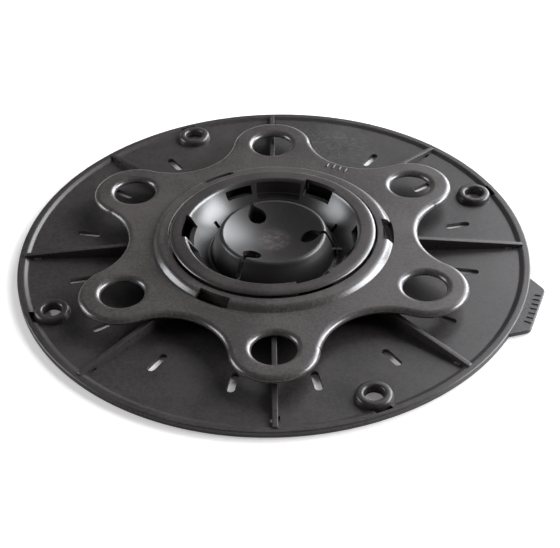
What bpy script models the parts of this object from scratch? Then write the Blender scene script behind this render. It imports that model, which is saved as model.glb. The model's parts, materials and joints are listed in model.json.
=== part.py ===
"""Low adjustable decking pedestal.

A ribbed base plate carries a lobed collar. Turning the collar clockwise lifts the bearing ring inside
it: the ring's lugs lie on ramps in the collar's bore, and its keys ride in the slits of the cupped stud
at the middle of the base. Metres, +Z up, origin on the pedestal's axis where the base meets the ground.
"""

import math

import bmesh
import bpy

# Clearances
SEAT_GAP = 0.0003
RUNNING_GAP = 0.0004
KEY_GAP = 0.0003

# Base plate and its rim
BASE_RADIUS = 0.1000
PLATE_THICKNESS = 0.0016
RIM_RISE = 0.0009
RIM_LAND = 0.0026
RIM_SLOPE = 0.0016
RIM_ROUND = 0.0004

# Ribs that carry the collar
RIB_COUNT = 8
RIB_THICKNESS = 0.0020
RIB_SEAT_HEIGHT = 0.0070
RIB_SEAT_RADIUS = 0.0570
RIB_END_HEIGHT = 0.0031
RIB_DRAIN_RADIUS = 0.0926
RIB_DRAIN_LENGTH = 0.0030
RIB_DRAIN_WIDTH = 0.0040

# Drain slots between the ribs
SLOT_COUNT = 16
SLOT_INNER_RADIUS = 0.0705
SLOT_OUTER_RADIUS = 0.0805
SLOT_WIDTH = 0.0030

# Screw bosses near the rim
BOSS_COUNT = 4
BOSS_PHASE = 22.5
BOSS_CIRCLE_RADIUS = 0.0897
BOSS_RADIUS = 0.0069
BOSS_RISE = 0.0022
BOSS_ROUND = 0.0008
SCREW_HOLE_RADIUS = 0.0035
COUNTERSINK_RADIUS = 0.0045
COUNTERSINK_DEPTH = 0.0009

# Tab on the rim
TAB_ANGLE = -21.5
TAB_REACH = 0.0054
TAB_EDGE_WIDTH = 0.0217
TAB_FLARE_DEGREES = 36.0
TAB_CORNER_RADIUS = 0.0030

# Cupped stud at the middle of the base
STUD_TOP = 0.0120
STUD_RADIUS = 0.0208
STUD_WALL = 0.0019
STUD_RIM_ROUND = 0.0008
DISH_DEPTH = 0.0050
KEYHOLE_COUNT = 3
KEYHOLE_RADIUS = 0.0036
KEYHOLE_CIRCLE_RADIUS = 0.0143
SLIT_WIDTH = 0.0018

# Bearing ring
RING_PHASE = -4.5
RING_TOP = 0.0133
LIP_RADIUS = 0.0399
LIP_THICKNESS = 0.0012
LIP_FALL = 0.0008
LIP_ROUND = 0.0006
LIP_SHOULDER = 0.0012
BOWL_EDGE_RADIUS = 0.0334
MOUTH_RADIUS = 0.0250
MOUTH_GAP = 0.0007
BOWL_WALL = 0.0015
SKIRT_INSET = 0.0014
SKIRT_WALL = 0.0015
WINDOW_COUNT = 3
WINDOW_SILL = 0.0084
WINDOW_HEAD = 0.0116
SIDE_WINDOW_HALF_ANGLE = 10.0
OPEN_WINDOW_HALF_ANGLE = 11.5
OPEN_WINDOW_LIP_CUT = 0.0021
POCKET_HALF_ANGLE = 16.5
POCKET_FLOOR = 0.0064
POCKET_WALL = 0.0014
NOTCH_ANGLE = 30.0
NOTCH_WIDTH = 0.0016
NOTCH_INNER_RADIUS = 0.0257
NOTCH_OUTER_RADIUS = 0.0283
KEY_REACH = 0.0043
KEY_HEIGHT = 0.0019

# Ramps in the collar and the ring's lugs that lie on them
RAMP_LEAD = 0.0150
RAMP_COUNT = 3
RAMP_START = 8.0
RAMP_LOW_TOP = 0.0033
RAMP_THICKNESS = 0.0013
RAMP_DEPTH = 0.0014
LUG_DEGREES = 10.0
LUG_HEIGHT = 0.0020
TURN_DEGREES = 100.0

# Lobed collar
COLLAR_GAP = 0.0007
COLLAR_TOP = 0.0118
COLLAR_TOP_RADIUS = 0.0442
COLLAR_FOOT_RADIUS = 0.0465
COLLAR_WALL = 0.0013
HUB_WALL = 0.0018
FLANGE_THICKNESS = 0.0025
FLANGE_ROUND = 0.0008
LOBE_COUNT = 6
LOBE_PHASE = 30.0
LOBE_CIRCLE_RADIUS = 0.0650
LOBE_RADIUS = 0.0165
LOBE_HOLE_RADIUS = 0.0082
WAIST_RADIUS = 0.0565
RIM_WINDOW_COUNT = 3
RIM_WINDOW_HALF_ANGLE = 8.5
RIM_WINDOW_DEPTH = 0.0018
NUB_COUNT = 4
NUB_PHASE = -28.0
NUB_REACH = 0.0004
NUB_WIDTH = 0.0012
NUB_HEIGHT = 0.0008

# Collar's guide wall on the base
GUIDE_WALL = 0.0018
GUIDE_DROP = 0.0004

# Facets, and how far joined shapes sink into each other
BASE_STEPS = 60
HUB_STEPS = 48
BOSS_STEPS = 16
ARC_STEP_DEGREES = 18.0
OVERCUT = 0.0020
SINK = 0.0006

# Radii and heights that follow from the sizes above
RIM_TOP = PLATE_THICKNESS + RIM_RISE
RIM_INNER_RADIUS = BASE_RADIUS - RIM_LAND
RING_BOTTOM = PLATE_THICKNESS + SEAT_GAP
BORE_RADIUS = LIP_RADIUS + COLLAR_GAP
HUB_RADIUS = BORE_RADIUS + HUB_WALL
GUIDE_RADIUS = HUB_RADIUS + RUNNING_GAP
GUIDE_TOP = RIB_SEAT_HEIGHT - GUIDE_DROP
FLANGE_BOTTOM = RIB_SEAT_HEIGHT + SEAT_GAP
FLANGE_TOP = FLANGE_BOTTOM + FLANGE_THICKNESS
SKIRT_RADIUS = LIP_RADIUS - SKIRT_INSET
SKIRT_INNER_RADIUS = SKIRT_RADIUS - SKIRT_WALL
RAMP_CREST_RADIUS = BORE_RADIUS - RAMP_DEPTH
LUG_RADIUS = BORE_RADIUS - RUNNING_GAP
BOWL_EDGE_HEIGHT = RING_TOP - LIP_FALL
LIP_UNDERSIDE = RING_TOP - LIP_THICKNESS
CHANNEL_TOP = LIP_UNDERSIDE - SINK
STUD_FOOT_RADIUS = MOUTH_RADIUS - MOUTH_GAP
STUD_NECK_RADIUS = STUD_RADIUS - STUD_WALL
DISH_BOTTOM = STUD_TOP - DISH_DEPTH


def polar(radius, degrees):
    """Return the point at this radius and angle about the axis."""
    angle = math.radians(degrees)
    return radius * math.cos(angle), radius * math.sin(angle)


def arc(centre, radius, start, end, step=ARC_STEP_DEGREES):
    """Return points along an arc, both ends included."""
    count = max(1, math.ceil(abs(end - start) / step))
    points = []
    for i in range(count + 1):
        x, y = polar(radius, start + (end - start) * i / count)
        points.append((centre[0] + x, centre[1] + y))
    return points


def swung(points, degrees):
    """Return an outline turned about the axis."""
    cosine, sine = polar(1, degrees)
    return [(x * cosine - y * sine, x * sine + y * cosine) for x, y in points]


def evenly(count, phase=0.0):
    """Return evenly spaced angles in degrees."""
    return [phase + 360.0 * i / count for i in range(count)]


def ball_through(low, high):
    """Return the centre height and radius of the ball on the axis through two (radius, height) points."""
    centre = (high[0] ** 2 + high[1] ** 2 - low[0] ** 2 - low[1] ** 2) / (2 * (high[1] - low[1]))
    return centre, math.hypot(low[0], low[1] - centre)


def ball_points(ball, growth, start, end, count):
    """Return points between two heights on a ball that has grown by this much."""
    centre, radius = ball[0], ball[1] + growth
    heights = [start + (end - start) * i / count for i in range(count + 1)]
    return [(math.sqrt(radius ** 2 - (height - centre) ** 2), height) for height in heights]


def dish_points(bottom, edge_radius, edge_height, count):
    """Return points from the axis out along a shallow dish."""
    depth = edge_height - bottom
    radius = (edge_radius ** 2 + depth ** 2) / (2 * depth)
    outs = [edge_radius * i / count for i in range(count + 1)]
    return [(out, bottom + radius - math.sqrt(radius ** 2 - out ** 2)) for out in outs]


def new_collection(name):
    collection = bpy.data.collections.new(name)
    bpy.context.scene.collection.children.link(collection)
    return collection


def new_object(name, mesh, collection):
    piece = bpy.data.objects.new(name, mesh)
    collection.objects.link(piece)
    return piece


def moulded_plastic(name, grey, roughness):
    """Return a black moulded plastic."""
    material = bpy.data.materials.new(name)
    material.use_nodes = True
    shader = material.node_tree.nodes["Principled BSDF"]
    shader.inputs["Base Color"].default_value = (grey, grey, grey, 1)
    shader.inputs["Roughness"].default_value = roughness
    return material


def turned(name, profile, steps, collection, closed=False):
    """Turn a profile of (radius, height) points, running down its outer side, about Z."""
    edges = [(i, i + 1) for i in range(len(profile) - 1)]
    if closed:
        edges.append((len(profile) - 1, 0))
    mesh = bpy.data.meshes.new(name)
    mesh.from_pydata([(radius, 0, height) for radius, height in profile], edges, [])
    piece = new_object(name, mesh, collection)
    turn = piece.modifiers.new("turn", "SCREW")
    turn.steps = steps
    turn.render_steps = steps
    turn.use_merge_vertices = True
    turn.merge_threshold = 0.00001
    return piece


def flat_solid(name, loops, bottom, top, collection):
    """Raise flat outlines, the inner ones being holes, between two heights."""
    curve = bpy.data.curves.new(name, "CURVE")
    curve.dimensions = "2D"
    curve.fill_mode = "BOTH"
    curve.extrude = (top - bottom) / 2
    for loop in loops:
        spline = curve.splines.new("POLY")
        spline.points.add(len(loop) - 1)
        for point, (x, y) in zip(spline.points, loop):
            point.co = (x, y, 0, 1)
        spline.use_cyclic_u = True
    outline = bpy.data.objects.new(name, curve)
    collection.objects.link(outline)
    outline.location.z = (top + bottom) / 2
    depsgraph = bpy.context.evaluated_depsgraph_get()
    depsgraph.update()
    mesh = bpy.data.meshes.new_from_object(outline.evaluated_get(depsgraph))
    place = outline.matrix_world.copy()
    bpy.data.objects.remove(outline)
    weld = bmesh.new()
    weld.from_mesh(mesh)
    bmesh.ops.remove_doubles(weld, verts=weld.verts, dist=0.000001)
    weld.to_mesh(mesh)
    weld.free()
    piece = new_object(name, mesh, collection)
    piece.matrix_world = place
    return piece


def sector(name, inner, outer, middle, half_angle, bottom, top, collection):
    """Make a block bounded by two arcs about the axis."""
    outer_side = arc((0, 0), outer, middle - half_angle, middle + half_angle, 6.0)
    inner_side = arc((0, 0), inner, middle + half_angle, middle - half_angle, 6.0)
    return flat_solid(name, [outer_side + inner_side], bottom, top, collection)


def radial_block(name, inner, outer, width, bottom, top, angle, collection):
    """Make a box that runs outward from the axis at this angle."""
    mesh = bpy.data.meshes.new(name)
    box = bmesh.new()
    bmesh.ops.create_cube(box, size=1)
    bmesh.ops.scale(box, verts=box.verts, vec=(outer - inner, width, top - bottom))
    bmesh.ops.translate(box, verts=box.verts, vec=((outer + inner) / 2, 0, (top + bottom) / 2))
    box.to_mesh(mesh)
    box.free()
    piece = new_object(name, mesh, collection)
    piece.rotation_euler.z = math.radians(angle)
    return piece


def helical_bar(name, inner, outer, underside, thickness, start, sweep, collection):
    """Run a rectangular section up the ramps' right-hand helix."""
    steps = max(2, round(sweep / 5.0))
    corners = ((inner, 0.0), (outer, 0.0), (outer, thickness), (inner, thickness))
    bar = bmesh.new()
    sections = []
    for i in range(steps + 1):
        x, y = polar(1, start + sweep * i / steps)
        height = underside + RAMP_LEAD * sweep / 360 * i / steps
        sections.append([bar.verts.new((radius * x, radius * y, height + rise)) for radius, rise in corners])
    for near, far in zip(sections, sections[1:]):
        for i in range(4):
            bar.faces.new((near[i - 1], near[i], far[i], far[i - 1]))
    bar.faces.new(sections[0])
    bar.faces.new(sections[-1][::-1])
    bmesh.ops.recalc_face_normals(bar, faces=bar.faces)
    mesh = bpy.data.meshes.new(name)
    bar.to_mesh(mesh)
    bar.free()
    return new_object(name, mesh, collection)


def shape_with(piece, operation, tools):
    """Join every object of a collection to a piece, or cut them all from it."""
    boolean = piece.modifiers.new(tools.name, "BOOLEAN")
    boolean.operation = operation
    boolean.solver = "EXACT"
    boolean.operand_type = "COLLECTION"
    boolean.collection = tools
    for tool in tools.objects:
        tool.hide_render = True
        tool.display_type = "WIRE"


def stud_ball():
    """Return the ball that the stud's outer wall is part of."""
    return ball_through((STUD_FOOT_RADIUS, PLATE_THICKNESS), (STUD_RADIUS, STUD_TOP - STUD_RIM_ROUND))


def bowl_ball():
    """Return the ball that the inside of the ring's bowl is part of."""
    return ball_through((MOUTH_RADIUS, RING_BOTTOM), (BOWL_EDGE_RADIUS, BOWL_EDGE_HEIGHT))


def base_profile():
    """Return the base's half section, from the dish over the stud, out to the rim and back below."""
    ball = stud_ball()
    hollow_top = DISH_BOTTOM + STUD_WALL
    profile = dish_points(DISH_BOTTOM, STUD_NECK_RADIUS, STUD_TOP - STUD_RIM_ROUND / 3, 5)
    profile += [
        (STUD_NECK_RADIUS + STUD_WALL / 3, STUD_TOP),
        (STUD_RADIUS - STUD_RIM_ROUND / 2, STUD_TOP - STUD_RIM_ROUND / 3),
    ]
    profile += ball_points(ball, 0, STUD_TOP - STUD_RIM_ROUND, PLATE_THICKNESS, 4)
    profile += [
        (GUIDE_RADIUS, PLATE_THICKNESS),
        (GUIDE_RADIUS, GUIDE_TOP),
        (GUIDE_RADIUS + GUIDE_WALL, GUIDE_TOP),
        (GUIDE_RADIUS + GUIDE_WALL, PLATE_THICKNESS),
        (RIM_INNER_RADIUS - RIM_SLOPE, PLATE_THICKNESS),
        (RIM_INNER_RADIUS, RIM_TOP),
        (BASE_RADIUS - RIM_ROUND, RIM_TOP),
        (BASE_RADIUS, RIM_TOP - RIM_ROUND),
        (BASE_RADIUS, RIM_ROUND),
        (BASE_RADIUS - RIM_ROUND, 0),
    ]
    profile += ball_points(ball, -STUD_WALL, 0, hollow_top, 3)
    underside = dish_points(DISH_BOTTOM - STUD_WALL, STUD_NECK_RADIUS - STUD_WALL, hollow_top, 4)
    return profile + underside[::-1]


def rib_outline():
    """Return a rib's side view as (radius, height) points."""
    foot = PLATE_THICKNESS - SINK
    inner = GUIDE_RADIUS + GUIDE_WALL / 2
    outer = RIM_INNER_RADIUS + SINK
    return [
        (inner, foot),
        (outer, foot),
        (outer, RIB_END_HEIGHT - RIM_ROUND),
        (outer - RIM_ROUND, RIB_END_HEIGHT),
        (RIB_SEAT_RADIUS, RIB_SEAT_HEIGHT),
        (inner, RIB_SEAT_HEIGHT),
    ]


def slot_outline(angle):
    """Return a round-ended slot that runs outward from the axis."""
    end = SLOT_WIDTH / 2
    outer_end = arc((SLOT_OUTER_RADIUS - end, 0), end, -90, 90, 30)
    inner_end = arc((SLOT_INNER_RADIUS + end, 0), end, 90, 270, 30)
    return swung(outer_end + inner_end, angle)


def tab_outline():
    """Return the tab's outline: a straight edge, round corners and flared sides."""
    centre = BASE_RADIUS + TAB_REACH - TAB_CORNER_RADIUS
    side = arc((centre, TAB_EDGE_WIDTH / 2), TAB_CORNER_RADIUS, 0, 90 - TAB_FLARE_DEGREES, 18)
    tangent_x, tangent_y = side[-1]
    flare = (tangent_x - RIM_INNER_RADIUS) * math.tan(math.radians(TAB_FLARE_DEGREES))
    side.append((RIM_INNER_RADIUS, tangent_y + flare))
    return swung([(x, -y) for x, y in side[::-1]] + side, TAB_ANGLE)


def boss_profile():
    top = PLATE_THICKNESS + BOSS_RISE
    return [
        (0, top),
        (BOSS_RADIUS - BOSS_ROUND, top),
        (BOSS_RADIUS, top - BOSS_ROUND),
        (BOSS_RADIUS, PLATE_THICKNESS - SINK),
        (0, PLATE_THICKNESS - SINK),
    ]


def screw_hole_profile():
    """Return a countersunk hole's half section."""
    top = PLATE_THICKNESS + BOSS_RISE
    spread = (COUNTERSINK_RADIUS - SCREW_HOLE_RADIUS) / COUNTERSINK_DEPTH
    return [
        (0, top + OVERCUT),
        (COUNTERSINK_RADIUS + spread * OVERCUT, top + OVERCUT),
        (SCREW_HOLE_RADIUS, top - COUNTERSINK_DEPTH),
        (SCREW_HOLE_RADIUS, -OVERCUT),
        (0, -OVERCUT),
    ]


def keyhole_outline(angle):
    """Return the teardrop opening in the stud's dish, pointing outward into the slit."""
    tip = STUD_NECK_RADIUS + SINK
    tangent = math.degrees(math.acos(KEYHOLE_RADIUS / (tip - KEYHOLE_CIRCLE_RADIUS)))
    outline = arc((KEYHOLE_CIRCLE_RADIUS, 0), KEYHOLE_RADIUS, tangent, 360 - tangent)
    return swung([*outline, (tip, 0)], angle)


def make_base(parts):
    """Mould the base plate with its rim, ribs, bosses, tab, guide wall and cupped stud."""
    added = new_collection("base_additions")
    cuts = new_collection("base_cuts")
    base = turned("base_plate", base_profile(), BASE_STEPS, parts)
    above = STUD_TOP + OVERCUT
    for angle in evenly(RIB_COUNT):
        rib = flat_solid("rib", [rib_outline()], -RIB_THICKNESS / 2, RIB_THICKNESS / 2, added)
        rib.rotation_euler = (math.radians(90), 0, math.radians(angle))
        rib.location = (0, 0, 0)
        inner = RIB_DRAIN_RADIUS - RIB_DRAIN_LENGTH / 2
        outer = inner + RIB_DRAIN_LENGTH
        top = PLATE_THICKNESS + SINK / 2
        radial_block("rib_drain", inner, outer, RIB_DRAIN_WIDTH, -OVERCUT, top, angle, cuts)
    for angle in evenly(BOSS_COUNT, BOSS_PHASE):
        boss = turned("boss", boss_profile(), BOSS_STEPS, added)
        hole = turned("screw_hole", screw_hole_profile(), BOSS_STEPS, cuts)
        for piece in (boss, hole):
            piece.location.xy = polar(BOSS_CIRCLE_RADIUS, angle)
    flat_solid("tab", [tab_outline()], RIM_ROUND / 2, PLATE_THICKNESS + RIM_ROUND / 2, added)
    for angle in evenly(SLOT_COUNT, 180.0 / SLOT_COUNT):
        flat_solid("drain_slot", [slot_outline(angle)], -OVERCUT, PLATE_THICKNESS + OVERCUT, cuts)
    for angle in evenly(KEYHOLE_COUNT, RING_PHASE):
        flat_solid("keyhole", [keyhole_outline(angle)], DISH_BOTTOM - 2 * STUD_WALL, above, cuts)
        start = STUD_NECK_RADIUS - SINK
        end = STUD_FOOT_RADIUS + OVERCUT
        radial_block("slit", start, end, SLIT_WIDTH, PLATE_THICKNESS + KEY_GAP, above + SINK, angle, cuts)
    shape_with(base, "UNION", added)
    shape_with(base, "DIFFERENCE", cuts)
    return base


def ring_profile():
    """Return the ring's closed half section: lip, skirt and bowl, with the channel between them."""
    ball = bowl_ball()
    return [
        (BOWL_EDGE_RADIUS, BOWL_EDGE_HEIGHT),
        (BOWL_EDGE_RADIUS + LIP_SHOULDER / 3, RING_TOP - LIP_FALL / 3),
        (BOWL_EDGE_RADIUS + LIP_SHOULDER, RING_TOP),
        (LIP_RADIUS - LIP_ROUND, RING_TOP),
        (LIP_RADIUS, RING_TOP - LIP_ROUND),
        (LIP_RADIUS, LIP_UNDERSIDE),
        (SKIRT_RADIUS, LIP_UNDERSIDE),
        (SKIRT_RADIUS, RING_BOTTOM),
        (SKIRT_INNER_RADIUS, RING_BOTTOM),
        (SKIRT_INNER_RADIUS, CHANNEL_TOP),
        *ball_points(ball, BOWL_WALL, CHANNEL_TOP, RING_BOTTOM, 4),
        *ball_points(ball, 0, RING_BOTTOM, BOWL_EDGE_HEIGHT, 6)[:-1],
    ]


def make_ring(parts):
    """Mould the bearing ring: lip, windowed bowl, skirt, lugs and guide keys."""
    inside = new_collection("inside_of_ring")
    added = new_collection("ring_additions")
    cuts = new_collection("ring_cuts")
    keys = new_collection("ring_keys")
    ring = turned("bearing_ring", ring_profile(), HUB_STEPS, parts, closed=True)
    within_wall = ball_points(bowl_ball(), BOWL_WALL / 2, RING_TOP, RING_BOTTOM, 6)
    turned("inside_of_bowl", [(0, RING_TOP), *within_wall, (0, RING_BOTTOM)], HUB_STEPS, inside)
    for angle in evenly(WINDOW_COUNT, RING_PHASE + 90):
        half = POCKET_HALF_ANGLE + math.degrees(POCKET_WALL / BOWL_EDGE_RADIUS)
        back = BOWL_EDGE_RADIUS + POCKET_WALL
        low = POCKET_FLOOR - POCKET_WALL
        wall = sector("pocket_wall", MOUTH_RADIUS, back, angle, half, low, CHANNEL_TOP + SINK / 2, added)
        shape_with(wall, "DIFFERENCE", inside)
        half = POCKET_HALF_ANGLE
        head = BOWL_EDGE_HEIGHT - SINK / 2
        sector("pocket", MOUTH_RADIUS, BOWL_EDGE_RADIUS, angle, half, POCKET_FLOOR, head, cuts)
    for angle in evenly(RAMP_COUNT, RAMP_START):
        foot = RAMP_LOW_TOP + SEAT_GAP
        helical_bar("lug", SKIRT_RADIUS - SINK, LUG_RADIUS, foot, LUG_HEIGHT, angle, LUG_DEGREES, added)
    for angle in evenly(WINDOW_COUNT, RING_PHASE):
        half = SIDE_WINDOW_HALF_ANGLE
        end = SKIRT_INNER_RADIUS - SINK
        sector("side_window", MOUTH_RADIUS, end, angle, half, WINDOW_SILL, WINDOW_HEAD, cuts)
    for angle in evenly(WINDOW_COUNT, RING_PHASE + 60):
        half = OPEN_WINDOW_HALF_ANGLE
        end = BOWL_EDGE_RADIUS + OPEN_WINDOW_LIP_CUT
        sector("open_window", MOUTH_RADIUS, end, angle, half, WINDOW_SILL, RING_TOP + OVERCUT, cuts)
        low = RING_BOTTOM + SKIRT_WALL
        start = SKIRT_INNER_RADIUS - SINK
        sector("skirt_window", start, LIP_RADIUS, angle, half, low, CHANNEL_TOP, cuts)
    for angle in evenly(WINDOW_COUNT, RING_PHASE + NOTCH_ANGLE):
        radial_block("notch", NOTCH_INNER_RADIUS, NOTCH_OUTER_RADIUS, NOTCH_WIDTH, 0, RING_TOP, angle, cuts)
    for angle in evenly(KEYHOLE_COUNT, RING_PHASE):
        foot = RING_BOTTOM + KEY_GAP
        width = SLIT_WIDTH - 2 * KEY_GAP
        inner = MOUTH_RADIUS - KEY_REACH
        outer = MOUTH_RADIUS + BOWL_WALL + SINK
        radial_block("key", inner, outer, width, foot, foot + KEY_HEIGHT, angle, keys)
    shape_with(ring, "UNION", added)
    shape_with(ring, "DIFFERENCE", cuts)
    shape_with(ring, "UNION", keys)
    return ring


def flange_outline():
    """Return the six-lobed outline: lobes joined by hollow arcs that meet them smoothly."""
    half_pitch = 180.0 / LOBE_COUNT
    along, across = polar(LOBE_CIRCLE_RADIUS, half_pitch)
    gain = (along - WAIST_RADIUS) ** 2 + across ** 2 - LOBE_RADIUS ** 2
    hollow = gain / (2 * (LOBE_RADIUS + along - WAIST_RADIUS))
    meeting = math.degrees(math.atan2(across, WAIST_RADIUS + hollow - along))
    swing = 180.0 - half_pitch - meeting
    outline = []
    for angle in evenly(LOBE_COUNT, LOBE_PHASE):
        outline += arc(polar(LOBE_CIRCLE_RADIUS, angle), LOBE_RADIUS, angle - swing, angle + swing)
        middle = angle + half_pitch
        centre = polar(WAIST_RADIUS + hollow, middle)
        outline += arc(centre, hollow, middle + 180 + meeting, middle + 180 - meeting)[1:-1]
    return outline


def rim_profile():
    """Return the closed half section of the collar's raised rim and its hub, open between them below."""
    channel_top = COLLAR_TOP - COLLAR_WALL
    inside_flange = (FLANGE_BOTTOM + FLANGE_TOP) / 2
    return [
        (BORE_RADIUS, COLLAR_TOP - FLANGE_ROUND / 2),
        (BORE_RADIUS + FLANGE_ROUND / 2, COLLAR_TOP),
        (COLLAR_TOP_RADIUS - FLANGE_ROUND, COLLAR_TOP),
        (COLLAR_TOP_RADIUS, COLLAR_TOP - FLANGE_ROUND / 2),
        (COLLAR_FOOT_RADIUS, FLANGE_TOP - SINK / 2),
        (COLLAR_FOOT_RADIUS, inside_flange),
        (COLLAR_FOOT_RADIUS - COLLAR_WALL, inside_flange),
        (COLLAR_TOP_RADIUS - COLLAR_WALL, channel_top),
        (HUB_RADIUS, channel_top),
        (HUB_RADIUS, RING_BOTTOM),
        (BORE_RADIUS, RING_BOTTOM),
    ]


def make_collar(parts):
    """Mould the lobed collar with its grip holes, rim windows, ramps and nubs."""
    opening = new_collection("collar_opening")
    added = new_collection("collar_additions")
    cuts = new_collection("collar_cuts")
    lobes = [polar(LOBE_CIRCLE_RADIUS, angle) for angle in evenly(LOBE_COUNT, LOBE_PHASE)]
    holes = [arc(lobe, LOBE_HOLE_RADIUS, 0, 360)[:-1] for lobe in lobes]
    collar = flat_solid("lobed_collar", [flange_outline(), *holes], FLANGE_BOTTOM, FLANGE_TOP, parts)
    rounding = collar.modifiers.new("rounded_edges", "BEVEL")
    rounding.width = FLANGE_ROUND
    rounding.segments = 2
    rounding.limit_method = "ANGLE"
    rounding.angle_limit = math.radians(50)
    edge = COLLAR_FOOT_RADIUS - COLLAR_WALL / 2
    turned("middle", [(0, COLLAR_TOP), (edge, COLLAR_TOP), (edge, 0), (0, 0)], HUB_STEPS, opening)
    turned("rim_and_hub", rim_profile(), HUB_STEPS, added, closed=True)
    for angle in evenly(RAMP_COUNT, RAMP_START):
        underside = RAMP_LOW_TOP - RAMP_THICKNESS
        sweep = TURN_DEGREES + LUG_DEGREES
        outer = BORE_RADIUS + SINK
        helical_bar("ramp", RAMP_CREST_RADIUS, outer, underside, RAMP_THICKNESS, angle, sweep, added)
    for angle in evenly(NUB_COUNT, NUB_PHASE):
        top = COLLAR_TOP - FLANGE_ROUND / 4
        inner = BORE_RADIUS - NUB_REACH
        radial_block("nub", inner, BORE_RADIUS + SINK, NUB_WIDTH, top - NUB_HEIGHT, top, angle, added)
    for angle in evenly(RIM_WINDOW_COUNT):
        inner = COLLAR_TOP_RADIUS - COLLAR_WALL
        low = FLANGE_TOP - RIM_WINDOW_DEPTH
        head = COLLAR_TOP + OVERCUT
        sector("rim_window", inner, COLLAR_FOOT_RADIUS + SINK, angle, RIM_WINDOW_HALF_ANGLE, low, head, cuts)
    shape_with(collar, "DIFFERENCE", opening)
    shape_with(collar, "UNION", added)
    shape_with(collar, "DIFFERENCE", cuts)
    return collar


def build():
    for piece in list(bpy.data.objects):
        bpy.data.objects.remove(piece)
    parts = new_collection("decking_pedestal")
    finishes = {
        make_base(parts): moulded_plastic("base_plastic", 0.045, 0.50),
        make_ring(parts): moulded_plastic("ring_plastic", 0.035, 0.28),
        make_collar(parts): moulded_plastic("collar_plastic", 0.045, 0.42),
    }
    for piece, finish in finishes.items():
        piece.data.materials.append(finish)


build()
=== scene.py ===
import json
import math

import bmesh
import bpy
from mathutils import Matrix, Vector

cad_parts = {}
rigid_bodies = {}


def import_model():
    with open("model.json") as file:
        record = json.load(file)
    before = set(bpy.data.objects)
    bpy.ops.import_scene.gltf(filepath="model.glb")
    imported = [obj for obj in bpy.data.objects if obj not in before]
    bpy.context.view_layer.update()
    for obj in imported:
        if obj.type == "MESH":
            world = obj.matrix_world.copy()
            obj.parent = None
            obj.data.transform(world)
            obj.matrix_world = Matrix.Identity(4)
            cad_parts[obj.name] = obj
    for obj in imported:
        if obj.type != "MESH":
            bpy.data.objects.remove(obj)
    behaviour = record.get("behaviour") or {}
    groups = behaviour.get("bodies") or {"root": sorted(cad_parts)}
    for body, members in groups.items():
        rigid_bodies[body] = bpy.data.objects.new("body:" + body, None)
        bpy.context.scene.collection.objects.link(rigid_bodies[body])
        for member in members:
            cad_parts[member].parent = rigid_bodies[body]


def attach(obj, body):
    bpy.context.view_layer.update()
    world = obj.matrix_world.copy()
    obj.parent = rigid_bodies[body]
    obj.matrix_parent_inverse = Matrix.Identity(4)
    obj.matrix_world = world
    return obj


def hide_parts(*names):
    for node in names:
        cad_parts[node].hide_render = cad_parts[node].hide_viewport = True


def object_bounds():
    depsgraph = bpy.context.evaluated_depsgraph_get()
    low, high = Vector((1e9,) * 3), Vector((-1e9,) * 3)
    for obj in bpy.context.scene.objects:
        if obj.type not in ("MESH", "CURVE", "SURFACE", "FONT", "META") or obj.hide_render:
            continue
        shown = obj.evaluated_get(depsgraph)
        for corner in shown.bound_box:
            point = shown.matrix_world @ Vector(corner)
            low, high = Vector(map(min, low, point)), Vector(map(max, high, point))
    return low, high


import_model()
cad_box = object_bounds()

# A low adjustable decking pedestal in black moulded plastic, on a white studio floor.
# Sizes are in metres and repeat the CAD part's, with its edges eased.

SEAT_GAP = 0.0003
RUNNING_GAP = 0.0004
RAMP_LEAD = 0.0150
RAMP_PHASE = 8.0

BASE_RADIUS = 0.1000
PLATE_TOP = 0.0016
RIM_TOP = 0.0025
RIM_INNER_RADIUS = 0.0974
RIM_SLOPE = 0.0016
RIB_TOP = 0.0070
RIB_SHOULDER_RADIUS = 0.0570
RIB_WIDTH = 0.0020
SLOT_INNER_CENTRE = 0.0720
SLOT_OUTER_CENTRE = 0.0790
SLOT_END_RADIUS = 0.0015
BOSS_PHASE = 22.5
BOSS_CIRCLE_RADIUS = 0.0897
BOSS_RADIUS = 0.0069
BOSS_HEIGHT = 0.0022
BOSS_FOOT = 0.0003
SCREW_HOLE_RADIUS = 0.0035
TAB_ANGLE = -21.5
TAB_CORNER = (0.1024, 0.01085)
TAB_CORNER_RADIUS = 0.0030
TAB_FLARE = 36

STUD_TOP = 0.0120
STUD_RADIUS = 0.0208
STUD_WALL = 0.0019
STUD_FOOT_RADIUS = 0.0243
DISH_BOTTOM = 0.0070
KEYHOLE_CENTRE = 0.0143
KEYHOLE_RADIUS = 0.0036
SLIT_WIDTH = 0.0018
KEY_ANGLES = (-4.5, 115.5, 235.5)

RING_TOP = 0.0133
RING_BOTTOM = PLATE_TOP + SEAT_GAP
LIP_RADIUS = 0.0399
LIP_UNDERSIDE = 0.0121
BOWL_EDGE_RADIUS = 0.0334
BOWL_EDGE_HEIGHT = 0.0125
BOWL_WALL = 0.0015
MOUTH_RADIUS = 0.0250
SKIRT_RADIUS = 0.0385
SKIRT_INNER_RADIUS = 0.0370
POCKET_HALF_ANGLE = 16.5
POCKET_FLOOR = 0.0064
POCKET_WALL_HALF_ANGLE = 18.9
POCKET_WALL_RADIUS = 0.0348
POCKET_WALL_BOTTOM = 0.0050
POCKET_WALL_TOP = 0.0119
WINDOW_BOTTOM = 0.0084
WINDOW_TOP = 0.0116
WINDOW_BACK_RADIUS = 0.0364
SIDE_WINDOW_HALF_ANGLE = 10.0
OPEN_WINDOW_HALF_ANGLE = 11.5
OPEN_WINDOW_BACK_RADIUS = 0.0355
SKIRT_WINDOW_BOTTOM = 0.0034
KEY_BOTTOM = 0.0022
KEY_TOP = 0.0041
LUG_RADIUS = 0.0402
LUG_UNDERSIDE = 0.0036
LUG_THICKNESS = 0.0020
LUG_SWEEP = 10

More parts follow.
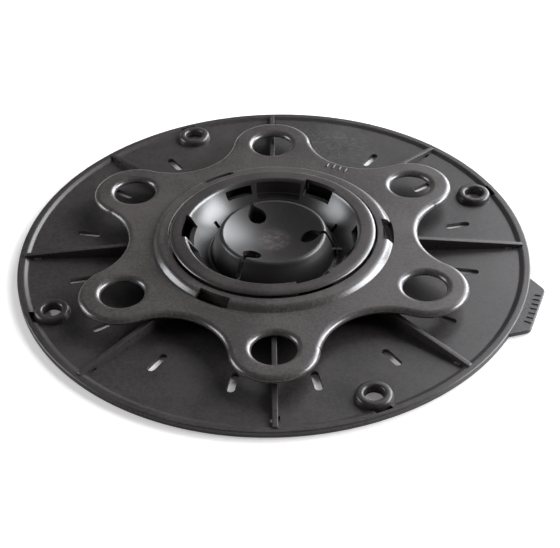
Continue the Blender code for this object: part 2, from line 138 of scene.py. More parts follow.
BORE_RADIUS = 0.0406
HUB_RADIUS = 0.0424
COLLAR_TOP = 0.0118
COLLAR_TOP_RADIUS = 0.0442
COLLAR_FOOT_RADIUS = 0.0465
COLLAR_WALL = 0.0013
FLANGE_BOTTOM = 0.0073
FLANGE_TOP = 0.0098
FLANGE_ROUND_IN = 0.0023
FLANGE_ROUND_DOWN = 0.0018
LOBE_CIRCLE_RADIUS = 0.0650
LOBE_RADIUS = 0.0165
GRIP_HOLE_RADIUS = 0.0082
WAIST_RADIUS = 0.0565
RIM_WINDOW_RADIUS = 0.0429
RIM_WINDOW_HALF_ANGLE = 8.5
RAMP_UNDERSIDE = 0.0020
RAMP_THICKNESS = 0.0013
RAMP_DEPTH = 0.0014
RAMP_SWEEP = 110
NUB_PHASE = -28.0
NUB_REACH = 0.0004
NUB_WIDTH = 0.0012
NUB_BOTTOM = 0.0106
NUB_TOP = 0.0114
TICK_ANGLES = (55, 58, 61, 64)
GUIDE_RADIUS = HUB_RADIUS + RUNNING_GAP
GUIDE_WALL = 0.0018
GUIDE_TOP = 0.0066

# Small blocks that point outward: inner radius, outer radius, width.
RIB_DRAIN = (0.0911, 0.0941, 0.0034)
TAB_BAR = (0.1024, 0.1050, 0.0007)
TICK = (0.0515, 0.0540, 0.0007)
NOTCH = (0.0257, 0.0283, 0.0016)
KEY = (0.0207, 0.0271, 0.0012)

BASE_STEPS = 240
HUB_STEPS = 192
BOSS_STEPS = 48
SINK = 0.0006
OVERCUT = 0.0020

BASE_SURFACE = {
    "level": 0.029,
    "roughness": 0.46,
    "polished": 0.41,
    "polished_radius": 0.0255,
    "gloss": 0.30,
    "grain_depth": 0.00006,
    "scuff": (0.024, 0.074, PLATE_TOP),
}
COLLAR_SURFACE = {
    "level": 0.052,
    "roughness": 0.42,
    "polished": 0.28,
    "polished_radius": 0.0405,
    "gloss": 0.90,
    "grain_depth": 0.00005,
}
RING_SURFACE = {
    "level": 0.037,
    "roughness": 0.36,
    "polished": 0.32,
    "polished_radius": 0.0336,
    "gloss": 1.0,
    "grain_depth": 0.00004,
    "mouth": MOUTH_RADIUS,
}
RUBBED_GREY = (0.14, 0.14, 0.14, 1)
# Painted highlight along the bowl's mouth edge.
MOUTH_PAINTED_HIGHLIGHT = (0.50, 0.43, 0.38, 1)
DISH_BLOTCH = (0.095, 0.070, 0.064, 1)
FLOOR_WHITE = (0.89, 0.86, 0.84, 1)

# Name, azimuth, elevation, distance, width, height, power.
SOFTBOXES = (
    ("right_light", 6, 24, 1.2, 0.80, 0.55, 19),
    ("back_right_light", 50, 24, 1.3, 0.80, 1.05, 24),
    ("left_light", 172, 20, 1.3, 0.70, 0.55, 7.5),
)
LIGHT_COLOUR = (0.955, 0.985, 1.025)
WORLD_STRENGTH = 0.09

CAMERA_AZIMUTH = 0.385
CAMERA_ELEVATION = 38.8646
CAMERA_TILT = 1.5296
CAMERA_DISTANCE = 0.532476
CAMERA_RIGHT = 0.0023644
CAMERA_DOWN = 0.0075552
CAMERA_LENS = 86.782


def polar(radius, degrees):
    """Return the point at this radius and angle about the axis."""
    angle = math.radians(degrees)
    return radius * math.cos(angle), radius * math.sin(angle)


def arc(centre, radius, start, end, step=5.0):
    """Return points along an arc, both ends included."""
    count = max(1, math.ceil(abs(end - start) / step))
    points = []
    for i in range(count + 1):
        x, y = polar(radius, start + (end - start) * i / count)
        points.append((centre[0] + x, centre[1] + y))
    return points


def swung(points, degrees):
    """Return an outline turned about the axis."""
    cosine, sine = polar(1, degrees)
    return [(x * cosine - y * sine, x * sine + y * cosine) for x, y in points]


def evenly(count, phase=0.0):
    """Return evenly spaced angles in degrees."""
    return [phase + 360.0 * i / count for i in range(count)]


def ball_through(low, high):
    """Return the centre height and radius of the ball on the axis through two (radius, height) points."""
    centre = (high[0] ** 2 + high[1] ** 2 - low[0] ** 2 - low[1] ** 2) / (2 * (high[1] - low[1]))
    return centre, math.hypot(low[0], low[1] - centre)


def ball_points(ball, growth, start, end, count):
    """Return points between two heights on a ball that has grown by this much."""
    centre, radius = ball[0], ball[1] + growth
    heights = [start + (end - start) * i / count for i in range(count + 1)]
    return [(math.sqrt(radius ** 2 - (height - centre) ** 2), height) for height in heights]


def dish_points(bottom, edge_radius, edge_height, count):
    """Return points from the axis out along a shallow dish."""
    depth = edge_height - bottom
    radius = (edge_radius ** 2 + depth ** 2) / (2 * depth)
    outs = [edge_radius * i / count for i in range(count + 1)]
    return [(out, bottom + radius - math.sqrt(radius ** 2 - out ** 2)) for out in outs]


def eased(corners, cuts=4):
    """Round the corners of a line. A corner is (x, y), or (x, y, how far back its rounding starts)."""
    points = []
    for i, corner in enumerate(corners):
        here = Vector(corner[:2])
        if len(corner) == 2:
            points.append(tuple(here))
            continue
        before = Vector(corners[i - 1][:2])
        after = Vector(corners[(i + 1) % len(corners)][:2])
        start = here + (before - here).normalized() * min(corner[2], (before - here).length * 0.49)
        end = here + (after - here).normalized() * min(corner[2], (after - here).length * 0.49)
        for k in range(cuts + 1):
            t = k / cuts
            points.append(tuple(start * (1 - t) ** 2 + here * 2 * t * (1 - t) + end * t ** 2))
    return points


def new_object(name, mesh, collection):
    piece = bpy.data.objects.new(name, mesh)
    collection.objects.link(piece)
    return piece


def new_collection(name):
    collection = bpy.data.collections.new(name)
    bpy.context.scene.collection.children.link(collection)
    return collection


def turned(name, profile, steps, collection, closed=False):
    """Turn a profile of (radius, height) points, running down its outer side, about Z."""
    edges = [(i, i + 1) for i in range(len(profile) - 1)]
    if closed:
        edges.append((len(profile) - 1, 0))
    mesh = bpy.data.meshes.new(name)
    mesh.from_pydata([(radius, 0, height) for radius, height in profile], edges, [])
    piece = new_object(name, mesh, collection)
    turn = piece.modifiers.new("turn", "SCREW")
    turn.steps = steps
    turn.render_steps = steps
    turn.use_merge_vertices = True
    turn.merge_threshold = 0.000001
    return piece


def layered_solid(name, layers, collection):
    """Close a solid over a stack of (height, outlines), the outlines after the first being holes."""
    body = bmesh.new()
    ends = ([], [])
    for outline in zip(*(loops for _, loops in layers)):
        rows = [[body.verts.new((x, y, layer[0])) for x, y in loop] for layer, loop in zip(layers, outline)]
        for low, high in zip(rows, rows[1:]):
            for i in range(len(low)):
                body.faces.new((low[i - 1], low[i], high[i], high[i - 1]))
        for end, row in zip(ends, (rows[0], rows[-1])):
            end.append(row)
    for end in ends:
        if len(end) == 1:
            body.faces.new(end[0])
        else:
            edges = [body.edges.get((row[i - 1], row[i])) for row in end for i in range(len(row))]
            bmesh.ops.triangle_fill(body, use_beauty=True, edges=edges)
    bmesh.ops.recalc_face_normals(body, faces=body.faces)
    mesh = bpy.data.meshes.new(name)
    body.to_mesh(mesh)
    body.free()
    return new_object(name, mesh, collection)


def flat_solid(name, outline, bottom, top, collection):
    """Raise a flat outline between two heights."""
    return layered_solid(name, [(bottom, [outline]), (top, [outline])], collection)


def sector(name, inner, outer, middle, half_angle, bottom, top, collection):
    """Make a block bounded by two arcs about the axis."""
    outer_side = arc((0, 0), outer, middle - half_angle, middle + half_angle, 2.0)
    inner_side = arc((0, 0), inner, middle + half_angle, middle - half_angle, 2.0)
    return flat_solid(name, outer_side + inner_side, bottom, top, collection)


def radial_block(name, inner, outer, width, bottom, top, angle, collection):
    """Make a box that runs outward from the axis at this angle."""
    mesh = bpy.data.meshes.new(name)
    box = bmesh.new()
    bmesh.ops.create_cube(box, size=1)
    bmesh.ops.scale(box, verts=box.verts, vec=(outer - inner, width, top - bottom))
    bmesh.ops.translate(box, verts=box.verts, vec=((outer + inner) / 2, 0, (top + bottom) / 2))
    bmesh.ops.rotate(box, verts=box.verts, cent=(0, 0, 0), matrix=Matrix.Rotation(math.radians(angle), 3, "Z"))
    box.to_mesh(mesh)
    box.free()
    return new_object(name, mesh, collection)


def helical_bar(name, inner, outer, underside, thickness, start, sweep, collection):
    """Run a rectangular section up the ramps' right-hand helix."""
    steps = round(sweep / 2.0)
    corners = ((inner, 0.0), (outer, 0.0), (outer, thickness), (inner, thickness))
    bar = bmesh.new()
    sections = []
    for i in range(steps + 1):
        x, y = polar(1, start + sweep * i / steps)
        height = underside + RAMP_LEAD * sweep / 360 * i / steps
        sections.append([bar.verts.new((radius * x, radius * y, height + rise)) for radius, rise in corners])
    for near, far in zip(sections, sections[1:]):
        for i in range(4):
            bar.faces.new((near[i - 1], near[i], far[i], far[i - 1]))
    bar.faces.new(sections[0])
    bar.faces.new(sections[-1][::-1])
    bmesh.ops.recalc_face_normals(bar, faces=bar.faces)
    mesh = bpy.data.meshes.new(name)
    bar.to_mesh(mesh)
    bar.free()
    return new_object(name, mesh, collection)


def soften(piece, width, segments=3):
    """Round a piece's sharp edges."""
    bevel = piece.modifiers.new("soft_edges", "BEVEL")
    bevel.width = width
    bevel.segments = segments
    bevel.limit_method = "ANGLE"
    bevel.angle_limit = math.radians(40)
    return piece


def shape_with(piece, operation, tools):
    """Join every object of a collection to a piece, or cut them all from it."""
    boolean = piece.modifiers.new(tools.name, "BOOLEAN")
    boolean.operation = operation
    boolean.solver = "EXACT"
    boolean.operand_type = "COLLECTION"
    boolean.collection = tools


def finish_piece(piece, body, node, material):
    """Turn a shaped piece into one plain mesh, give it its body and its material, and hide the CAD node it
    stands in for.
    """
    depsgraph = bpy.context.evaluated_depsgraph_get()
    depsgraph.update()
    mesh = bpy.data.meshes.new_from_object(piece.evaluated_get(depsgraph))
    piece.modifiers.clear()
    piece.data = mesh
    mesh.shade_smooth()
    mesh.set_sharp_from_angle(angle=math.radians(32))
    even = piece.modifiers.new("even_shading", "WEIGHTED_NORMAL")
    even.keep_sharp = True
    mesh.materials.clear()
    mesh.materials.append(material)
    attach(piece, body)
    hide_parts(node)


def stud_ball():
    """Return the ball that the stud's outer wall follows."""
    return ball_through((STUD_FOOT_RADIUS, PLATE_TOP), (STUD_RADIUS, STUD_TOP - 0.0008))


def bowl_ball():
    """Return the ball that the ring's bowl follows."""
    return ball_through((MOUTH_RADIUS, RING_BOTTOM), (BOWL_EDGE_RADIUS, BOWL_EDGE_HEIGHT))


def base_profile():
    """Return the base's half section, from the dish over the stud, out to the rim and back below."""
    ball = stud_ball()
    neck = STUD_RADIUS - STUD_WALL
    hollow_top = DISH_BOTTOM + STUD_WALL
    underside = dish_points(DISH_BOTTOM - STUD_WALL, neck - STUD_WALL, hollow_top, 8)
    return eased([
        *dish_points(DISH_BOTTOM, neck, STUD_TOP - 0.0003, 24),
        (neck + 0.0004, STUD_TOP, 0.0005),
        (STUD_RADIUS - 0.0001, STUD_TOP - 0.0001, 0.0019),
        *ball_points(ball, 0, STUD_TOP - 0.0021, PLATE_TOP + 0.0003, 14),
        (STUD_FOOT_RADIUS + 0.0003, PLATE_TOP),
        (GUIDE_RADIUS, PLATE_TOP, 0.0003),
        (GUIDE_RADIUS, GUIDE_TOP, 0.0003),
        (GUIDE_RADIUS + GUIDE_WALL, GUIDE_TOP, 0.0003),
        (GUIDE_RADIUS + GUIDE_WALL, PLATE_TOP, 0.0005),
        (RIM_INNER_RADIUS - RIM_SLOPE, PLATE_TOP, 0.0003),
        (RIM_INNER_RADIUS, RIM_TOP, 0.0005),
        (BASE_RADIUS, RIM_TOP, 0.0006),
        (BASE_RADIUS, 0, 0.0004),
        *ball_points(ball, -STUD_WALL, 0, hollow_top, 6),
        *underside[::-1],
    ])


def rib_outline():
    """Return a rib's side view as (radius, height) points."""
    foot = PLATE_TOP - SINK
    inner = GUIDE_RADIUS + GUIDE_WALL / 2
    outer = RIM_INNER_RADIUS + SINK
    return [
        (inner, foot),
        (outer, foot),
        (outer, 0.0027),
        (outer - 0.0004, 0.0031),
        (RIB_SHOULDER_RADIUS, RIB_TOP),
        (inner, RIB_TOP),
    ]


def slot_outline(angle):
    """Return a round-ended slot that runs outward from the axis."""
    outer_end = arc((SLOT_OUTER_CENTRE, 0), SLOT_END_RADIUS, -90, 90, 15)
    inner_end = arc((SLOT_INNER_CENTRE, 0), SLOT_END_RADIUS, 90, 270, 15)
    return swung(outer_end + inner_end, angle)


def tab_outline():
    """Return the tab's outline: a straight edge, round corners and flared sides."""
    side = arc(TAB_CORNER, TAB_CORNER_RADIUS, 0, 90 - TAB_FLARE, 9)
    flare = (side[-1][0] - RIM_INNER_RADIUS) * math.tan(math.radians(TAB_FLARE))
    side.append((RIM_INNER_RADIUS, side[-1][1] + flare))
    return swung([(x, -y) for x, y in side[::-1]] + side, TAB_ANGLE)


def boss_profile():
    """Return the closed half section of a screw boss with a rolled top and its hole."""
    top = PLATE_TOP + BOSS_HEIGHT
    return eased([
        (SCREW_HOLE_RADIUS, BOSS_FOOT),
        (0.0036, top, 0.0010),
        (0.0063, top, 0.0012),
        (BOSS_RADIUS, PLATE_TOP + 0.0002),
        (BOSS_RADIUS, BOSS_FOOT),
    ], 5)


def keyhole_outline(angle):
    """Return the teardrop opening in the stud's dish, pointing outward into the slit."""
    tip = STUD_RADIUS - STUD_WALL + SINK
    tangent = math.degrees(math.acos(KEYHOLE_RADIUS / (tip - KEYHOLE_CENTRE)))
    round_end = arc((KEYHOLE_CENTRE, 0), KEYHOLE_RADIUS, tangent, 360 - tangent, 10)
    return swung([*round_end, (tip, 0)], angle)


def make_base(shown):
    """Mould the base plate with its rim, ribs, bosses, slots, barred tab, guide wall and cupped stud."""
    added = new_collection("base_additions")
    cuts = new_collection("base_cuts")
    bosses = new_collection("base_bosses")
    base = turned("base_moulding", base_profile(), BASE_STEPS, shown)
    for angle in evenly(8):
        rib = flat_solid("rib", rib_outline(), -RIB_WIDTH / 2, RIB_WIDTH / 2, added)
        rib.rotation_euler = (math.radians(90), 0, math.radians(angle))
        soften(rib, 0.0003, 2)
        radial_block("rib_drain", *RIB_DRAIN, -OVERCUT, PLATE_TOP + SINK / 2, angle, cuts)
    seat = [(0, OVERCUT), (0.0052, OVERCUT), (0.0052, -OVERCUT), (0, -OVERCUT)]
    for angle in evenly(4, BOSS_PHASE):
        boss = turned("boss", boss_profile(), BOSS_STEPS, bosses, closed=True)
        hole = turned("screw_hole", seat, BOSS_STEPS, cuts)
        for piece in (boss, hole):
            piece.location.xy = polar(BOSS_CIRCLE_RADIUS, angle)
        sector("boss_relief", 0.0957, 0.0981, angle, 1.9, 0.0004, RIM_TOP + OVERCUT, cuts)
    soften(flat_solid("tab", tab_outline(), 0.0002, 0.0018, added), 0.0004)
    for step in range(-3, 4):
        bar = radial_block("tab_bar", *TAB_BAR, 0.0012, 0.0021, TAB_ANGLE + step * 1.5, added)
        soften(bar, 0.0001, 1)
    for angle in evenly(16, 11.25):
        flat_solid("drain_slot", slot_outline(angle), -OVERCUT, PLATE_TOP + OVERCUT, cuts)
    keyhole_bottom = DISH_BOTTOM - 2 * STUD_WALL
    slit_inner = STUD_RADIUS - STUD_WALL - SINK
    slit_outer = STUD_FOOT_RADIUS + OVERCUT
    slit_bottom = PLATE_TOP + 0.0003
    for angle in KEY_ANGLES:
        flat_solid("keyhole", keyhole_outline(angle), keyhole_bottom, STUD_TOP + OVERCUT, cuts)
        radial_block("slit", slit_inner, slit_outer, SLIT_WIDTH, slit_bottom, 0.0150, angle, cuts)
    shape_with(base, "UNION", added)
    shape_with(base, "DIFFERENCE", cuts)
    shape_with(base, "UNION", bosses)
    return base, (added, cuts, bosses)


def ring_profile():
    """Return the ring's closed half section: lip, skirt and bowl, with the channel between them."""
    ball = bowl_ball()
    channel_top = LIP_UNDERSIDE - SINK
    return eased([
        (BOWL_EDGE_RADIUS, BOWL_EDGE_HEIGHT, 0.0003),
        (BOWL_EDGE_RADIUS + 0.0006, RING_TOP, 0.0006),
        (LIP_RADIUS - 0.0011, RING_TOP, 0.0013),
        (LIP_RADIUS, RING_TOP - 0.0006, 0.0006),
        (LIP_RADIUS, LIP_UNDERSIDE, 0.0003),
        (SKIRT_RADIUS, LIP_UNDERSIDE),
        (SKIRT_RADIUS, RING_BOTTOM, 0.0003),
        (SKIRT_INNER_RADIUS, RING_BOTTOM, 0.0003),
        (SKIRT_INNER_RADIUS, channel_top, 0.0003),
        *ball_points(ball, BOWL_WALL, channel_top, RING_BOTTOM, 12),
        (MOUTH_RADIUS + 0.0001, RING_BOTTOM, 0.0004),
        *ball_points(ball, 0, RING_BOTTOM, BOWL_EDGE_HEIGHT, 24)[1:-1],
    ])


def make_ring(shown):
    """Mould the bearing ring: lip, bowl with pockets, windows and notches, skirt, lugs and keys."""
    inside = new_collection("inside_of_ring")
    added = new_collection("ring_additions")
    cuts = new_collection("ring_cuts")
    keys = new_collection("ring_keys")
    ring = turned("ring_moulding", ring_profile(), HUB_STEPS, shown, closed=True)
    within_wall = ball_points(bowl_ball(), BOWL_WALL / 2, RING_TOP, RING_BOTTOM, 20)
    turned("inside_of_bowl", [(0, RING_TOP), *within_wall, (0, RING_BOTTOM)], HUB_STEPS, inside)
    for angle in KEY_ANGLES:
        wall = sector("pocket_wall", MOUTH_RADIUS, POCKET_WALL_RADIUS, angle + 90, POCKET_WALL_HALF_ANGLE,
                      POCKET_WALL_BOTTOM, POCKET_WALL_TOP, added)
        shape_with(wall, "DIFFERENCE", inside)
        pocket = sector("pocket", 0.0240, BOWL_EDGE_RADIUS, angle + 90, POCKET_HALF_ANGLE,
                        POCKET_FLOOR, 0.0122, cuts)
        soften(pocket, 0.0005)
        sector("side_window", MOUTH_RADIUS, WINDOW_BACK_RADIUS, angle, SIDE_WINDOW_HALF_ANGLE,
               WINDOW_BOTTOM, WINDOW_TOP, cuts)
        sector("open_window", MOUTH_RADIUS, OPEN_WINDOW_BACK_RADIUS, angle + 60, OPEN_WINDOW_HALF_ANGLE,
               WINDOW_BOTTOM, RING_TOP + OVERCUT, cuts)
        sector("skirt_window", WINDOW_BACK_RADIUS, LIP_RADIUS, angle + 60, OPEN_WINDOW_HALF_ANGLE,
               SKIRT_WINDOW_BOTTOM, WINDOW_TOP, cuts)
        radial_block("notch", *NOTCH, 0, RING_TOP, angle + 30, cuts)
        radial_block("key", *KEY, KEY_BOTTOM, KEY_TOP, angle, keys)
    lug_foot = SKIRT_RADIUS - SINK
    for angle in evenly(3, RAMP_PHASE):
        helical_bar("lug", lug_foot, LUG_RADIUS, LUG_UNDERSIDE, LUG_THICKNESS, angle, LUG_SWEEP, added)
    shape_with(ring, "UNION", added)
    shape_with(ring, "DIFFERENCE", cuts)
    shape_with(ring, "UNION", keys)
    return ring, (inside, added, cuts, keys)


def flange_outlines(inset):
    """Return the six-lobed outline and its six grip holes, all drawn in by this much."""
    along, across = polar(LOBE_CIRCLE_RADIUS, 30)
    gain = (along - WAIST_RADIUS) ** 2 + across ** 2 - LOBE_RADIUS ** 2
    hollow = gain / (2 * (LOBE_RADIUS + along - WAIST_RADIUS))
    meeting = math.degrees(math.atan2(across, WAIST_RADIUS + hollow - along))
    edge = []
    holes = []
    for angle in evenly(6, 30):
        lobe = polar(LOBE_CIRCLE_RADIUS, angle)
        edge += arc(lobe, LOBE_RADIUS - inset, angle - 150 + meeting, angle + 150 - meeting)
        centre = polar(WAIST_RADIUS + hollow, angle + 30)
        edge += arc(centre, hollow + inset, angle + 210 + meeting, angle + 210 - meeting, 4.0)[1:-1]
        holes.append(arc(lobe, GRIP_HOLE_RADIUS + inset, 0, 360)[:-1])
    return [edge, *holes]


def rim_profile():
    """Return the closed half section of the collar's raised rim and its hub, open between them below."""
    channel_top = COLLAR_TOP - COLLAR_WALL
    return eased([
        (BORE_RADIUS, COLLAR_TOP, 0.0004),
        (COLLAR_TOP_RADIUS, COLLAR_TOP, 0.0009),
        (COLLAR_TOP_RADIUS + 0.0010, COLLAR_TOP - 0.0005, 0.0006),
        (COLLAR_FOOT_RADIUS, FLANGE_TOP + 0.0001, 0.0002),
        (COLLAR_FOOT_RADIUS + 0.0005, FLANGE_TOP - 0.0002),
        (COLLAR_FOOT_RADIUS, 0.00855),
        (COLLAR_FOOT_RADIUS - COLLAR_WALL, 0.00855),
        (COLLAR_TOP_RADIUS - COLLAR_WALL, channel_top, 0.0003),
        (HUB_RADIUS, channel_top, 0.0003),
        (HUB_RADIUS, RING_BOTTOM, 0.0003),
        (BORE_RADIUS, RING_BOTTOM, 0.0003),
    ])


def make_collar(shown):
    """Mould the lobed collar with its grip holes, rim windows, ramps, nubs and ticks."""
    opening = new_collection("collar_opening")
    added = new_collection("collar_additions")
    cuts = new_collection("collar_cuts")
    side = [(0.0007, FLANGE_BOTTOM), (0.0002, FLANGE_BOTTOM + 0.0002), (0, FLANGE_BOTTOM + 0.0007)]
    for turn in range(0, 91, 10):
        across, along = polar(1, turn)
        side.append((FLANGE_ROUND_IN * (1 - across), FLANGE_TOP - FLANGE_ROUND_DOWN * (1 - along)))
    layers = [(height, flange_outlines(inset)) for inset, height in side]
    collar = layered_solid("collar_moulding", layers, shown)
    edge = COLLAR_FOOT_RADIUS - COLLAR_WALL / 2
    turned("middle", [(0, COLLAR_TOP), (edge, COLLAR_TOP), (edge, 0), (0, 0)], HUB_STEPS, opening)
    turned("rim_and_hub", rim_profile(), HUB_STEPS, added, closed=True)
    for angle in evenly(3, RAMP_PHASE):
        helical_bar("ramp", BORE_RADIUS - RAMP_DEPTH, BORE_RADIUS + SINK, RAMP_UNDERSIDE, RAMP_THICKNESS,
                    angle, RAMP_SWEEP, added)
    for angle in evenly(4, NUB_PHASE):
        radial_block("nub", BORE_RADIUS - NUB_REACH, BORE_RADIUS + SINK, NUB_WIDTH, NUB_BOTTOM, NUB_TOP,
                     angle, added)
    for angle in TICK_ANGLES:
        tick = radial_block("tick", *TICK, FLANGE_TOP - SINK, FLANGE_TOP + 0.0004, angle, added)
        soften(tick, 0.0002)
    for angle in evenly(3):
        sector("rim_window", RIM_WINDOW_RADIUS, COLLAR_FOOT_RADIUS + SINK, angle, RIM_WINDOW_HALF_ANGLE,
               FLANGE_TOP - FLANGE_ROUND_DOWN, COLLAR_TOP + OVERCUT, cuts)
    shape_with(collar, "DIFFERENCE", opening)
    shape_with(collar, "UNION", added)
    shape_with(collar, "DIFFERENCE", cuts)
    return collar, (opening, added, cuts)


class Varying:
    """A number or vector that varies over a surface, with ordinary arithmetic."""

    def __init__(self, recipe, socket):
        self.recipe = recipe
        self.socket = socket

    def __add__(self, other):
        return self.recipe.sum_of("ADD", self, other)

    def __sub__(self, other):
        return self.recipe.sum_of("SUBTRACT", self, other)

    def __rsub__(self, other):
        return self.recipe.sum_of("SUBTRACT", other, self)

    def __mul__(self, other):
        return self.recipe.sum_of("MULTIPLY", self, other)

    def __truediv__(self, other):
        return self.recipe.sum_of("DIVIDE", self, other)

    def __rtruediv__(self, other):
        return self.recipe.sum_of("DIVIDE", other, self)

    def __pow__(self, other):
        return self.recipe.sum_of("POWER", self, other)

    __radd__ = __add__
    __rmul__ = __mul__


class Recipe:
    """A material and the nodes that make it."""

    def __init__(self, name):
        self.material = bpy.data.materials.new(name)
        self.material.use_nodes = True
        self.tree = self.material.node_tree
        self.shader = self.tree.nodes["Principled BSDF"]

    def feed(self, socket, value):
        if isinstance(value, Varying):
            self.tree.links.new(value.socket, socket)
        else:
            socket.default_value = value

    def give(self, name, value):
        """Feed one input of the shader."""
        self.feed(self.shader.inputs[name], value)

    def node(self, kind, settings, values, outlet=0):
        """Add a node, set it up, feed its inputs by name or number, and return one of its outputs."""
        made = self.tree.nodes.new(kind)
        for key, value in settings.items():
            setattr(made, key, value)
        for key, value in values.items():
            self.feed(made.inputs[key], value)
        return Varying(self, made.outputs[outlet])

    def sum_of(self, operation, first, second):
        return self.node("ShaderNodeMath", {"operation": operation}, {0: first, 1: second})

    def noise(self, place, scale, detail=3.0, roughness=0.5, distortion=0.0):
        values = {"Vector": place, "Scale": scale, "Detail": detail, "Roughness": roughness}
        values["Distortion"] = distortion
        return self.node("ShaderNodeTexNoise", {}, values)

    def between(self, value, low, high, to_low=0.0, to_high=1.0):
        """Carry a value from one range to another, smoothly and without going past its ends."""
        values = {"Value": value, "From Min": low, "From Max": high, "To Min": to_low, "To Max": to_high}
        return self.node("ShaderNodeMapRange", {"interpolation_type": "SMOOTHSTEP"}, values)

    def blend(self, share, first, second):
        """Mix two colours."""
        return self.node("ShaderNodeMix", {"data_type": "RGBA"}, {0: share, 6: first, 7: second}, 2)


def warm_black(level):
    """Return the dark warm grey of black polypropylene."""
    return (level * 1.20, level * 1.04, level, 1)


def moulded_plastic(name, level, roughness, polished, polished_radius, gloss, grain_depth,
                    scuff=None, mouth=None):
    """Return black polypropylene: grained outside a radius and polished by the tool inside it. Its colour
    holds painted light: lighter on slopes and sides as a painted highlight, darker inside the polished radius
    partly as painted shade, and a painted highlight along a mouth edge.
    """
    recipe = Recipe(name)
    place = recipe.node("ShaderNodeTexCoord", {}, {}, "Object")
    flat_place = recipe.node("ShaderNodeVectorMath", {"operation": "MULTIPLY"}, {0: place, 1: (1, 1, 0)})
    radius = recipe.node("ShaderNodeVectorMath", {"operation": "LENGTH"}, {0: flat_place}, "Value")
    polish = recipe.between(radius, polished_radius + 0.0008, polished_radius - 0.0008)
    facing = recipe.node("ShaderNodeTexCoord", {}, {}, "Normal")
    edges = recipe.between(recipe.node("ShaderNodeSeparateXYZ", {}, {0: facing}, "Z"), 0.985, 0.85)
    grain = recipe.noise(place, 900, 3.0, 0.6)
    specks = recipe.noise(place, 2600, 2.0, 0.6)
    clouds = recipe.noise(place, 36, 4.0, 0.55, 0.6)
    smears = recipe.noise(place, 260, 6.0, 0.75, 1.6)
    values = {"W": radius, "Scale": 2600, "Detail": 2.0}
    rings = recipe.node("ShaderNodeTexNoise", {"noise_dimensions": "1D"}, values)
    centre = recipe.between(radius, 0.0080, 0.0050)
    pitting = recipe.noise(place, 620, 2.0, 0.7, 0.8)

    tone = recipe.between(grain * 0.45 + specks * 0.35 + clouds * 0.40, 0.49, 0.71)
    colour = recipe.blend(tone, warm_black(level * 0.68), warm_black(level * 1.3))
    # Slopes and sides, the rounded edges among them, are painted lighter: a painted highlight.
    colour = recipe.blend(edges * 0.3, colour, warm_black(level * 1.7))
    dull = roughness + (clouds - 0.5) * 0.14 + (grain - 0.5) * 0.14 - edges * 0.16
    # Inside the polished radius the colour is darker: partly the polished finish, partly painted shade over
    # the recessed middle (the stud and its dish, the ring's bowl, the collar's bore).
    colour = recipe.blend(polish * 0.6, colour, warm_black(level * 0.35))
    if scuff:
        spot = recipe.node("ShaderNodeVectorMath", {"operation": "DISTANCE"}, {0: place, 1: scuff}, "Value")
        rubbed = recipe.between(spot, 0.028, 0.004) * recipe.between(smears * 0.6 + specks * 0.5, 0.50, 0.72)
        colour = recipe.blend(rubbed * 0.8, colour, RUBBED_GREY)
    # A thin band on the mouth edge is painted lighter: a painted highlight.
    if mouth:
        outward = recipe.between(radius, mouth + 0.0007, mouth + 0.0003)
        edge = outward * recipe.between(radius, mouth - 0.0001, mouth)
        colour = recipe.blend(edge * edges * 0.9, colour, MOUTH_PAINTED_HIGHLIGHT)
    mottle = recipe.between(radius, 0.0085, 0.0030) * recipe.between(pitting, 0.44, 0.60)
    colour = recipe.blend(mottle * polish * 0.7, colour, DISH_BLOTCH)
    recipe.give("Base Color", colour)
    shine = polished + (rings - 0.5) * (1 - gloss) * 0.12 + (clouds - 0.5) * 0.08 + centre * 0.16
    recipe.give("Roughness", dull + (shine - dull) * polish)

    recipe.give("Coat Weight", (polish + edges * (1 - polish)) * gloss)
    recipe.give("Coat Roughness", polished)
    coarse = (grain * 0.7 + specks * 0.3) * (1 - edges * 0.9)
    fine = rings * (1 - gloss) * 0.16 + centre * pitting * 1.6
    height = coarse + (fine - coarse) * polish
    values = {"Height": height, "Distance": grain_depth, "Strength": 0.7}
    recipe.give("Normal", recipe.node("ShaderNodeBump", {}, values))
    recipe.give("IOR", 1.49)
    return recipe.material


def floor_material():
    """Return a matt white floor with a camera-only glow: it whitens the floor round the pedestal, lightening
    its shadow there, and is painted light on the floor seen under the slots and screw holes.
    """
    recipe = Recipe("studio_floor")
    place = recipe.node("ShaderNodeTexCoord", {}, {}, "Object")
    radius = recipe.node("ShaderNodeVectorMath", {"operation": "LENGTH"}, {0: place}, "Value")
    depth = recipe.node("ShaderNodeSeparateXYZ", {}, {0: place}, "Y")
    seen = recipe.node("ShaderNodeLightPath", {}, {}, "Is Camera Ray")
    around = recipe.between(radius, 0.0950, 0.1010) * 0.6 + recipe.between(radius, 0.1000, 0.1250) * 0.4
    behind = recipe.between(depth, -0.0010, 0.0010)
    near_end = recipe.between(radius, 0.0735, 0.0770)
    near_end = near_end + (recipe.between(radius, 0.0785, 0.0745) - near_end) * behind
    front_or_back = recipe.between(depth * depth / (radius * radius), 0.45, 0.65)
    within_slots = recipe.between(radius, 0.0830, 0.0815)
    beyond_collar = recipe.between(radius, 0.0670, 0.0690)
    # Painted light: a glow on the floor where it is seen through the drain slots and the screw holes.
    under_slots = near_end * front_or_back * within_slots * beyond_collar
    under_bosses = recipe.between(radius, 0.0835, 0.0850) * recipe.between(radius, 0.0905, 0.0895)
    painted_light_glow = seen * (around + under_slots * 0.42 + under_bosses * 0.22)
    recipe.give("Base Color", FLOOR_WHITE)
    recipe.give("Roughness", 0.9)
    recipe.give("Specular IOR Level", 0.1)
    recipe.give("Emission Color", recipe.blend(painted_light_glow, (0, 0, 0, 1), (1, 1, 1, 1)))
    recipe.give("Emission Strength", 0.6)
    return recipe.material


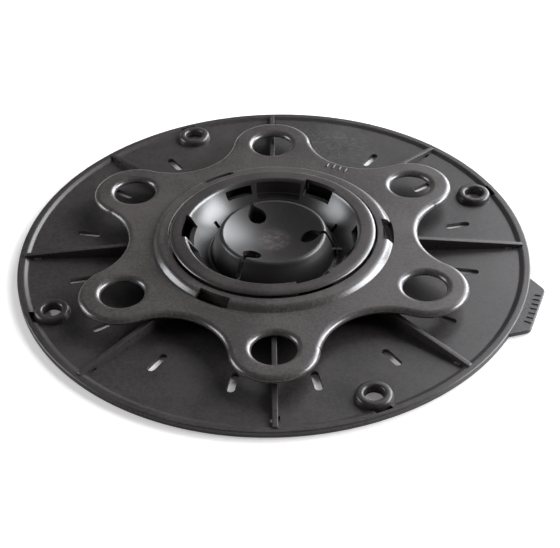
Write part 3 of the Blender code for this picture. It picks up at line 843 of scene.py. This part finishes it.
def softbox(name, azimuth, elevation, distance, width, height, power):
    """Hang a rectangular area light that faces the pedestal."""
    light = bpy.data.lights.new(name, "AREA")
    light.shape = "RECTANGLE"
    light.size = width
    light.size_y = height
    light.energy = power
    light.color = LIGHT_COLOUR
    lamp = bpy.data.objects.new(name, light)
    bpy.context.scene.collection.objects.link(lamp)
    x, y = polar(distance * math.cos(math.radians(elevation)), azimuth)
    lamp.location = (x, y, distance * math.sin(math.radians(elevation)))
    lamp.rotation_euler = (-lamp.location).to_track_quat("-Z", "Y").to_euler()


def add_camera():
    """Stand the camera where the photograph was taken, with its small tilt."""
    elevation = math.radians(CAMERA_ELEVATION)
    tilt = math.radians(CAMERA_TILT)
    right = Vector((1, 0, 0))
    up = Vector((0, math.sin(elevation), math.cos(elevation)))
    back = Vector((0, -math.cos(elevation), math.sin(elevation)))
    place = back * CAMERA_DISTANCE + right * CAMERA_RIGHT - up * CAMERA_DOWN
    across = right * math.cos(tilt) - up * math.sin(tilt)
    upward = right * math.sin(tilt) + up * math.cos(tilt)
    camera = bpy.data.objects.new("camera", bpy.data.cameras.new("camera"))
    bpy.context.scene.collection.objects.link(camera)
    turn = Matrix.Rotation(math.radians(CAMERA_AZIMUTH), 4, "Z")
    stand = Matrix((across, upward, back)).transposed().to_4x4()
    stand.translation = place
    camera.matrix_world = turn @ stand
    camera.data.sensor_width = 36
    camera.data.lens = CAMERA_LENS
    camera.data.clip_start = 0.05
    bpy.context.scene.camera = camera


def add_studio():
    """Lay the floor and hang the lights."""
    mesh = bpy.data.meshes.new("floor")
    sheet = bmesh.new()
    bmesh.ops.create_grid(sheet, x_segments=8, y_segments=8, size=3.0)
    sheet.to_mesh(mesh)
    sheet.free()
    floor = new_object("floor", mesh, bpy.context.scene.collection)
    floor.location.z = cad_box[0][2] - 0.0001
    mesh.materials.append(floor_material())
    for settings in SOFTBOXES:
        softbox(*settings)
    world = bpy.data.worlds.new("studio")
    world.use_nodes = True
    background = world.node_tree.nodes["Background"]
    background.inputs["Color"].default_value = (1, 1, 1, 1)
    background.inputs["Strength"].default_value = WORLD_STRENGTH
    bpy.context.scene.world = world
    bpy.context.scene.view_settings.view_transform = "Standard"


def clear_away(collections):
    """Remove the cutters and joined shapes once they have done their work."""
    for collection in collections:
        for tool in list(collection.objects):
            bpy.data.objects.remove(tool)
        bpy.data.collections.remove(collection)


def dress():
    """Mould the three pieces, each in its plastic."""
    shown = new_collection("decking_pedestal")
    pieces = (
        (make_base, "base", "base_plate", "base_plastic", BASE_SURFACE),
        (make_collar, "collar", "lobed_collar", "collar_plastic", COLLAR_SURFACE),
        (make_ring, "ring", "bearing_ring", "ring_plastic", RING_SURFACE),
    )
    for make, body, node, slot, surface in pieces:
        piece, tools = make(shown)
        finish_piece(piece, body, node, moulded_plastic(slot, **surface))
        clear_away(tools)


dress()
add_studio()
add_camera()
